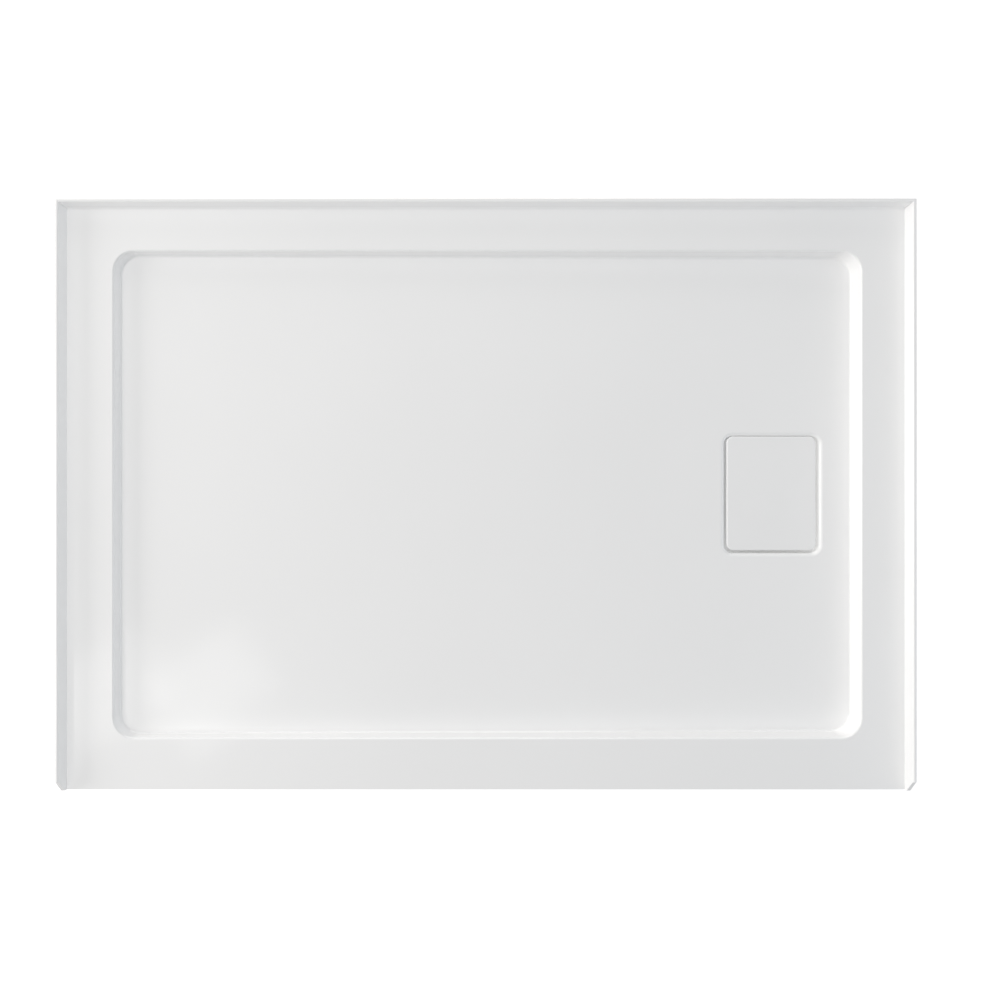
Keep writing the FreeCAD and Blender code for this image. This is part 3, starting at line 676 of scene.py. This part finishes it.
def weld_beads(under, place, underside):
    """Three short beads, each a row of overlapping drops, along every other flat of the nut."""
    beads = []
    centre, reach = Vector((place.x, place.y, underside)), under.hexagon_flats / 2
    for angle in map(math.radians, BEAD_ANGLES):
        out = Vector((math.cos(angle), math.sin(angle), 0))
        along = Vector((-out.y, out.x, 0))
        for drop in DROPS:
            stand_down()
            bpy.ops.mesh.primitive_uv_sphere_add(segments=12, ring_count=8, radius=under.weld * DROP_RADIUS,
                                                 location=centre + out * reach + along * drop * under.weld)
            bpy.ops.transform.resize(value=(1, 1, DROP_HEIGHTS[drop % 2]))
            beads.append(added("bead"))
            slice_off(beads[-1], (0, 0, underside + under.plate_thickness / 2), (0, 0, -1))
    return beads


class SHOWERTRAY_OT_drain(bpy.types.Operator):
    """Turn the threaded drain body and the rubber feet under the cover"""
    bl_idname = "showertray.drain"
    bl_label = "Drain"

    def execute(self, context):
        under, colours = context.scene.tray_under, context.scene.tray_colours
        finish(make_drain(under), "tray", "drain_plastic", surfaced(colours, "moulding"), "drain_body")
        finish(make_bumpers(context.scene.tray_sump), "drain_cover", "grey_rubber",
               surfaced(colours, "bumper_rubber"), "cover_bumpers")
        return {"FINISHED"}


def make_drain(under):
    """Drain body: a flange with a seat for the strainer, a throat, a chamber for the pipe's seal and a lip."""
    low, high = corners("drain_body")
    seal_low, seal_high = corners("pipe_gasket")
    seat_low, seat_high = corners("drain_strainer")
    flange = (high.x - low.x) / 2
    seat, chamber = (seat_high.x - seat_low.x) / 2, (seal_high.x - seal_low.x) / 2
    wall, root = under.drain_wall, under.drain_wall - under.drain_depth
    flange_low = corners("drain_flange_gasket")[1].z
    throat = chamber + 2 * LIP
    seat_floor = high.z - LIP
    body = turned("drain", [
        (chamber - 5 * LIP, low.z), (root - LIP / 2, low.z), (root, low.z + LIP / 2), (root, flange_low - 2 * LIP),
        (wall, flange_low - 1.5 * LIP), (wall, flange_low), (flange - LIP / 2, flange_low),
        (flange, flange_low + LIP / 2), (flange, high.z - LIP), (flange - LIP / 2, high.z - LIP / 4),
        (flange - LIP, high.z), (seat + LIP / 2, high.z), (seat + LIP / 4, high.z - LIP / 4),
        (seat + LIP / 4, seat_floor), (throat, seat_floor), (throat, high.z - 6 * LIP),
        (chamber, high.z - 6 * LIP), (chamber, seal_low.z), (chamber - 5 * LIP, seal_low.z),
        (chamber - 5 * LIP, low.z)], DRAIN, 96)
    ridge = thread("ridge", DRAIN, root - NEAR, wall, under.drain_pitch, low.z + LIP, flange_low - 2 * LIP, 72)
    return join(body, ridge)


def make_bumpers(sump):
    """Four rubber feet with rounded edges and a hollow sole, each on its stem."""
    low, high = corners("cover_bumpers")
    foot, stem, thick = sump.bumper_radius, sump.bumper_stem, sump.bumper_thickness
    first = Vector((low.x + foot, low.y + foot, 0))
    bend = thick / 6
    bumper = turned("bumpers", [
        (0, low.z + 2 * bend), (stem, low.z + 2 * bend), (stem + 2 * bend, low.z), (foot - 2 * bend, low.z),
        (foot - bend / 2, low.z + bend / 2), (foot, low.z + 2 * bend), (foot, low.z + thick - 2 * bend),
        (foot - bend / 2, low.z + thick - bend / 2), (foot - 2 * bend, low.z + thick), (stem, low.z + thick),
        (stem, high.z), (0, high.z)], first, 40)
    across, along = high.x - low.x - 2 * foot, high.y - low.y - 2 * foot
    others = [twin(bumper, "bumper", move) for move in ((across, 0, 0), (0, along, 0), (across, along, 0))]
    return join(bumper, *others)


class SHOWERTRAY_OT_dress(bpy.types.Operator):
    """Give every piece that stays as it was built its finish"""
    bl_idname = "showertray.dress"
    bl_label = "Finishes"

    def execute(self, context):
        colours = context.scene.tray_colours
        dress(foam_finish(colours), "foam_core")
        dress(board_finish(colours), "base_board")
        for side, axis in (("threshold", "X"), ("back", "X"), ("left", "Y"), ("right", "Y")):
            dress(batten_finish(colours, side, axis), f"{side}_batten")
        dress(bpy.data.materials["moulding"], "drain_cover_backing", "drain_locknut", "pipe_compression_nut")
        dress(surfaced(colours, "rubber"), "drain_flange_gasket", "drain_rubber_washer", "pipe_gasket")
        dress(surfaced(colours, "washer_fibre"), "drain_friction_washer")
        dress(surfaced(colours, "stainless"), "drain_strainer")
        zinc = bpy.data.materials["zinc"]
        dress(zinc, "bracket_screws", *(f"foot_locknut_{number}" for number in range(1, FEET + 1)))
        return {"FINISHED"}


# Materials

def feed(tree, node, values):
    """Links a value that is a socket to the input of that name or number, and sets any other on the input."""
    for name, value in values.items():
        target = node.inputs[name.replace("_", " ") if isinstance(name, str) else name]
        if isinstance(value, bpy.types.NodeSocket):
            tree.links.new(value, target)
        else:
            target.default_value = value


def add(tree, kind, settings=None, numbered=None, **named):
    """Adds a node with its settings. Inputs whose names repeat go by number."""
    node = tree.nodes.new(f"ShaderNode{kind}")
    for name, value in (settings or {}).items():
        setattr(node, name, value)
    feed(tree, node, {**(numbered or {}), **named})
    return node


def noise(tree, place, scale, detail):
    """Soft noise over the place."""
    return add(tree, "TexNoise", Vector=place, Scale=scale, Detail=detail).outputs["Fac"]


def ranged(tree, value, **limits):
    """The value, stretched from one range to another."""
    return add(tree, "MapRange", Value=value, **limits).outputs["Result"]


def larger(tree, first, second):
    """The larger of two values."""
    return add(tree, "Math", {"operation": "MAXIMUM"}, {0: first, 1: second}).outputs["Value"]


def bumped(tree, height, strength, distance, **normal):
    """Normal of a surface that the height raises."""
    return add(tree, "Bump", Height=height, Strength=strength, Distance=distance, **normal).outputs["Normal"]


def mixed(tree, mask, first, second):
    """Colour that goes from the first to the second as the mask rises."""
    return add(tree, "Mix", {"data_type": "RGBA"}, {0: mask, 6: first, 7: second}).outputs[2]


def chosen(tree, mask, first, second):
    """The first shader, or the second where the mask is one."""
    return add(tree, "MixShader", None, {0: mask, 1: first, 2: second}).outputs["Shader"]


def plain(name, base, roughness, metallic=0.0, ior=1.5):
    """New material with its constants on the shader's own sockets."""
    material = bpy.data.materials.new(name)
    material.use_nodes = True
    tree = material.node_tree
    shader = tree.nodes["Principled BSDF"]
    feed(tree, shader, {"Base Color": base, "Roughness": roughness, "Metallic": metallic, "IOR": ior})
    return material, tree, shader


def on_object(tree):
    """Place on the object."""
    return add(tree, "TexCoord").outputs["Object"]


def scaled(base, factor):
    """The colour made darker or lighter."""
    return tuple(channel * factor for channel in base[:3]) + (1.0,)


# Effects that several finishes share

def effect(gives, **given):
    """Makes a shared node group of a function that wires its inside and gives what feeds its outputs."""
    def shared(wire):
        def group():
            tree = bpy.data.node_groups.get(wire.__name__)
            if not tree:
                tree = bpy.data.node_groups.new(wire.__name__, "ShaderNodeTree")
                for way, sockets in (("INPUT", given), ("OUTPUT", gives)):
                    for name, kind in sockets.items():
                        tree.interface.new_socket(name, in_out=way, socket_type=f"NodeSocket{kind}")
                source = tree.nodes.new("NodeGroupInput").outputs
                feed(tree, tree.nodes.new("NodeGroupOutput"), wire(tree, *(source[name] for name in given)))
            return tree
        return group
    return shared


@effect({"Color": "Color"}, Vector="Vector", Scale="Float", First="Color", Second="Color")
def patches(tree, place, scale, first, second):
    """Colour that wanders between two colours in soft patches."""
    mask = ranged(tree, noise(tree, place, scale, 3.0), From_Min=0.35, From_Max=0.65)
    return {"Color": mixed(tree, mask, first, second)}


@effect({"Value": "Float"}, Vector="Vector", Scale="Float", Low="Float", High="Float")
def haze(tree, place, scale, low, high):
    """Roughness that wanders between two values, as handling and wiping leave it."""
    cloud = noise(tree, place, scale, 5.0)
    return {"Value": ranged(tree, cloud, From_Min=0.3, From_Max=0.7, To_Min=low, To_Max=high)}


@effect({"Normal": "Vector"}, Vector="Vector", Scale="Float", Depth="Float")
def relief(tree, place, scale, depth):
    """Fine unevenness of a moulded, rolled or plated surface."""
    return {"Normal": bumped(tree, noise(tree, place, scale, 2.0), 1.0, depth)}


@effect({"Tone": "Float", "Seam": "Float"}, Vector="Vector", Scale="Float")
def flecks(tree, place, scale):
    """Cells of even tone with thin dark seams, such as chips, grains of zinc or closed foam."""
    cells, edges = (add(tree, "TexVoronoi", {"feature": feature}, Vector=place, Scale=scale).outputs
                    for feature in ("F1", "DISTANCE_TO_EDGE"))
    return {"Tone": add(tree, "SeparateColor", Color=cells["Color"]).outputs["Red"],
            "Seam": ranged(tree, edges["Distance"], From_Max=0.10)}


@effect({"Mask": "Float"}, Vector="Vector", Scale="Float")
def strands(tree, place, scale):
    """Chopped strands that lie every way in the surface."""
    mask = None
    for lay in range(7):
        turn = (0.9 * lay, 0.37 * lay, 0.45 * lay)
        spot = add(tree, "Mapping", Vector=place, Rotation=turn, Scale=(1.0, 16.0, 16.0),
                   Location=(lay, lay, lay)).outputs["Vector"]
        line = ranged(tree, noise(tree, spot, scale, 1.0), From_Min=0.58, From_Max=0.68)
        mask = larger(tree, mask, line) if mask else line
    return {"Mask": mask}


def use(tree, shared, **values):
    """Adds a shared effect and gives its outputs."""
    return add(tree, "Group", {"node_tree": shared()}, **values).outputs


# Finishes of one colour: the colour, the two shades that it wanders between and how finely, the least and the most
# roughness and how finely it wanders, and how fine and how deep the relief is.
SURFACES = {
    "white_acrylic": ("acrylic", 0.985, 1.0, 3.0, 0.09, 0.16, 14.0, 45.0, 0.00003),
    "cover_acrylic": ("cover", 0.985, 1.0, 9.0, 0.12, 0.22, 40.0, 60.0, 0.00002),
    "moulding": ("moulding", 0.94, 1.0, 30.0, 0.38, 0.52, 60.0, 2200.0, 0.00008),
    "rubber": ("rubber", 1.0, 2.2, 40.0, 0.55, 0.8, 90.0, 1500.0, 0.00008),
    "bumper_rubber": ("bumper", 0.8, 1.3, 60.0, 0.5, 0.75, 150.0, 2000.0, 0.00006),
    "pad_plastic": ("pad", 1.0, 2.4, 45.0, 0.34, 0.55, 80.0, 1600.0, 0.00010),
    "washer_fibre": ("washer", 0.75, 1.25, 400.0, 0.75, 0.9, 120.0, 1300.0, 0.00015),
    "zinc": ("zinc", 0.82, 1.1, 120.0, 0.22, 0.42, 260.0, 900.0, 0.00004),
    "stainless": ("steel", 0.9, 1.1, 60.0, 0.18, 0.40, 12.0, 14.0, 0.00006),
}
IOR = {"white_acrylic": 1.49, "cover_acrylic": 1.49}
METALS = ("zinc", "stainless")
BRUSHED = {"stainless": (1, 120, 1)}


def surfaced(colours, name):
    """Material of one colour that wanders a little, with its own haze and fine relief."""
    base, dark, light, patch, low, high, wipe, grain, depth = SURFACES[name]
    first, second = (scaled(getattr(colours, base), shade) for shade in (dark, light))
    material, tree, shader = plain(name, second, (low + high) / 2, float(name in METALS), IOR.get(name, 1.5))
    place = on_object(tree)
    spot = add(tree, "Mapping", Vector=place, Scale=BRUSHED.get(name, (1, 1, 1))).outputs["Vector"]
    feed(tree, shader, {
        "Base Color": use(tree, patches, Vector=place, Scale=patch, First=first, Second=second)["Color"],
        "Roughness": use(tree, haze, Vector=spot, Scale=wipe, Low=low, High=high)["Value"],
        "Normal": use(tree, relief, Vector=spot, Scale=grain, Depth=depth)["Normal"],
    })
    return material


def galvanised_finish(colours):
    """Hot-dip zinc: flat crystals of differing brightness and gloss."""
    base = colours.galvanised
    material, tree, shader = plain("galvanised", base, 0.4, metallic=1.0)
    place = on_object(tree)
    tone = use(tree, flecks, Vector=place, Scale=150.0)["Tone"]
    feed(tree, shader, {
        "Base Color": mixed(tree, tone, scaled(base, 0.62), scaled(base, 1.25)),
        "Roughness": ranged(tree, tone, To_Min=0.5, To_Max=0.28),
        "Normal": use(tree, relief, Vector=place, Scale=500.0, Depth=0.00006)["Normal"],
    })
    return material


def laminate_finish(colours):
    """Rolled chopped strands in polyester resin: pale strands, resin-rich hollows and a rough skin."""
    resin = colours.resin
    material, tree, shader = plain("laminate", resin, 0.4, ior=1.55)
    place = on_object(tree)
    wet = use(tree, patches, Vector=place, Scale=28.0, First=scaled(resin, 0.85),
              Second=scaled(resin, 1.12))["Color"]
    mask = use(tree, strands, Vector=place, Scale=26.0)["Mask"]
    skin = use(tree, relief, Vector=place, Scale=90.0, Depth=0.0012)["Normal"]
    feed(tree, shader, {
        "Base Color": mixed(tree, mask, wet, colours.strands),
        "Roughness": use(tree, haze, Vector=place, Scale=60.0, Low=0.28, High=0.62)["Value"],
        "Normal": bumped(tree, mask, 1.0, 0.0004, Normal=skin),
    })
    return material


def foam_finish(colours):
    """Trimmed rigid foam: fine closed cells and a little yellowing."""
    base = colours.foam
    material, tree, shader = plain("foam", base, 0.85)
    place = on_object(tree)
    aged = use(tree, patches, Vector=place, Scale=12.0, First=scaled(base, 0.85),
               Second=scaled(base, 1.1))["Color"]
    seam = use(tree, flecks, Vector=place, Scale=700.0)["Seam"]
    feed(tree, shader, {"Base Color": mixed(tree, seam, scaled(base, 0.6), aged),
                        "Normal": bumped(tree, seam, 0.8, 0.0004)})
    return material


def board_finish(colours):
    """Particle board: flat chips of several browns with fine dark dust between them."""
    base, chip = colours.board, colours.board_chip
    material, tree, shader = plain("particle_board", base, 0.75)
    place = on_object(tree)
    flat = add(tree, "Mapping", Vector=place, Scale=(1.0, 1.6, 3.5)).outputs["Vector"]
    chips, fine = (use(tree, flecks, Vector=flat, Scale=scale) for scale in (150.0, 520.0))
    coarse = mixed(tree, chips["Tone"], scaled(base, 0.9), chip)
    dust = mixed(tree, fine["Tone"], scaled(base, 0.55), scaled(chip, 1.05))
    feed(tree, shader, {"Base Color": mixed(tree, noise(tree, place, 45.0, 4.0), coarse, dust),
                        "Normal": bumped(tree, fine["Seam"], 0.6, 0.0003)})
    return material


def batten_finish(colours, side, axis):
    """Planed softwood whose rings run round an axis beside the strip, with faint saw marks."""
    wood = colours.wood
    material, tree, shader = plain(f"{side}_wood", wood, 0.6)
    grain = (0.05, 1, 1) if axis == "X" else (1, 0.05, 1)
    spot = add(tree, "Mapping", {"vector_type": "TEXTURE"}, Vector=on_object(tree),
               Location=middle(f"{side}_batten") - PITH).outputs["Vector"]
    along = add(tree, "Mapping", Vector=spot, Scale=grain).outputs["Vector"]
    rings = add(tree, "TexWave", {"wave_type": "RINGS", "rings_direction": axis, "wave_profile": "SAW"},
                Vector=along, Scale=75.0, Distortion=2.5, Detail=2.0, Detail_Scale=0.6).outputs["Fac"]
    ringed = mixed(tree, rings, wood, colours.wood_ring)
    fibres = noise(tree, along, 900.0, 3.0)
    soft = ranged(tree, fibres, From_Min=0.3, From_Max=0.8, To_Max=0.45)
    feed(tree, shader, {"Base Color": mixed(tree, soft, ringed, scaled(wood, 1.15)),
                        "Normal": bumped(tree, fibres, 0.5, 0.0003)})
    return material


# Studio

# Lamps: name, place, side, tint, and whether it casts shadows
LAMPS = (
    ("left", (-3.0, 0.3, 1.1), 1.6, "left_tint", True),
    ("bounce", (-3.0, 0.3, 1.1), 1.6, "left_tint", False),
    ("return", (3.0, -0.3, 1.1), 1.6, "right_tint", False),
    ("front", (0.0, -3.0, 1.1), 1.6, "left_tint", False),
    ("rear", (0.0, 3.0, 1.1), 1.6, "left_tint", False),
    ("back", (-0.3, 3.0, 1.1), 1.8, "left_tint", True),
    ("right", (2.4, -0.5, 2.0), 2.0, "right_tint", True),
)
PANES = {"pane_1": (-1.12, -0.58, 1.5), "pane_2": (-0.80, -0.58, 1.5)}
PANE_SIDES = (0.26, 0.34)
LAMP_AIM = Vector((0, 0, 0.1))
WHITE = (1, 1, 1, 1)


class SHOWERTRAY_OT_studio(bpy.types.Operator):
    """Set the tray on a plain pale floor under soft light, with the camera straight above it"""
    bl_idname = "showertray.studio"
    bl_label = "Studio"

    def execute(self, context):
        studio = context.scene.tray_studio
        ground = lay_ground(studio)
        for name, place, side, tint, shadow in LAMPS:
            watts = getattr(studio, f"{name}_power")
            soft_light(name, place, (side, side), watts, getattr(studio, tint)).use_shadow = shadow
        for name, place in PANES.items():
            soft_light(name, place, PANE_SIDES, studio.pane_power, studio.left_tint)
        sky(context.scene, studio)
        stand_down()
        bpy.ops.object.camera_add(location=(0, studio.camera_y, studio.camera_height), rotation=(0, 0, 0))
        camera = context.object
        camera.name = "camera"
        for name in ("lens", "shift_x", "shift_y"):
            setattr(camera.data, name, getattr(studio, name))
        context.scene.camera = camera
        context.scene.view_settings.view_transform = "Standard"
        return {"FINISHED"}


def lay_ground(studio):
    """Plain pale floor, a little lifted where the camera sees it, and see-through from below."""
    stand_down()
    bpy.ops.mesh.primitive_plane_add(size=studio.ground_size, location=(0, 0, 0))
    ground = added("ground")
    material, tree, shader = plain("ground", studio.ground, 0.9)
    matt = shader.outputs["BSDF"]
    lift = add(tree, "Emission", Color=WHITE, Strength=studio.ground_lift).outputs["Emission"]
    lifted = add(tree, "AddShader", None, {0: matt, 1: lift}).outputs["Shader"]
    above = chosen(tree, add(tree, "LightPath").outputs["Is Camera Ray"], matt, lifted)
    clear = add(tree, "BsdfTransparent").outputs["BSDF"]
    both = chosen(tree, add(tree, "NewGeometry").outputs["Backfacing"], above, clear)
    feed(tree, tree.nodes["Material Output"], {"Surface": both})
    ground.data.materials.append(material)
    return ground


def soft_light(name, place, sides, watts, tint):
    """Rectangular lamp that faces the tray."""
    stand_down()
    aim = (LAMP_AIM - Vector(place)).to_track_quat("-Z", "Y").to_euler()
    bpy.ops.object.light_add(type="AREA", location=place, rotation=aim)
    bpy.context.object.name = name
    lamp = bpy.context.object.data
    lamp.name, lamp.shape, lamp.energy, lamp.color = name, "RECTANGLE", watts, tint[:3]
    lamp.size, lamp.size_y = sides
    return lamp


def sky(scene, studio):
    """Even light from all round, white where the camera or a reflection sees it."""
    scene.world = world = bpy.data.worlds.new("studio")
    world.use_nodes = True
    tree = world.node_tree
    light = tree.nodes["Background"]
    feed(tree, light, {"Color": WHITE, "Strength": studio.sky})
    white = add(tree, "Background", Color=WHITE, Strength=1.0)
    rays = add(tree, "LightPath").outputs
    seen = larger(tree, larger(tree, rays["Is Camera Ray"], rays["Is Glossy Ray"]), rays["Is Transmission Ray"])
    both = chosen(tree, seen, light.outputs["Background"], white.outputs["Background"])
    feed(tree, tree.nodes["World Output"], {"Surface": both})


class SHOWERTRAY_PT_panel(bpy.types.Panel):
    """Lists the pieces in the order in which they are made"""
    bl_idname = "SHOWERTRAY_PT_panel"
    bl_label = "Shower tray"
    bl_space_type = "VIEW_3D"
    bl_region_type = "UI"
    bl_category = "Shower tray"

    def draw(self, context):
        for step in STEPS:
            self.layout.operator(step.bl_idname)


GROUPS = {
    "tray_sheet": ShowerTraySheet,
    "tray_sump": ShowerTraySump,
    "tray_under": ShowerTrayUnderside,
    "tray_colours": ShowerTrayColours,
    "tray_studio": ShowerTrayStudio,
}
STEPS = (SHOWERTRAY_OT_sheet, SHOWERTRAY_OT_cover, SHOWERTRAY_OT_laminate, SHOWERTRAY_OT_feet, SHOWERTRAY_OT_drain,
         SHOWERTRAY_OT_dress, SHOWERTRAY_OT_studio)
CLASSES = (*GROUPS.values(), *STEPS, SHOWERTRAY_PT_panel)


def register():
    for kind in CLASSES:
        bpy.utils.register_class(kind)
    for name, kind in GROUPS.items():
        setattr(bpy.types.Scene, name, bpy.props.PointerProperty(type=kind))


def unregister():
    for name in GROUPS:
        delattr(bpy.types.Scene, name)
    for kind in reversed(CLASSES):
        bpy.utils.unregister_class(kind)


def main():
    register()
    for step in STEPS:
        group, name = step.bl_idname.split(".")
        getattr(getattr(bpy.ops, group), name)()


if __name__ == "__main__":
    main()
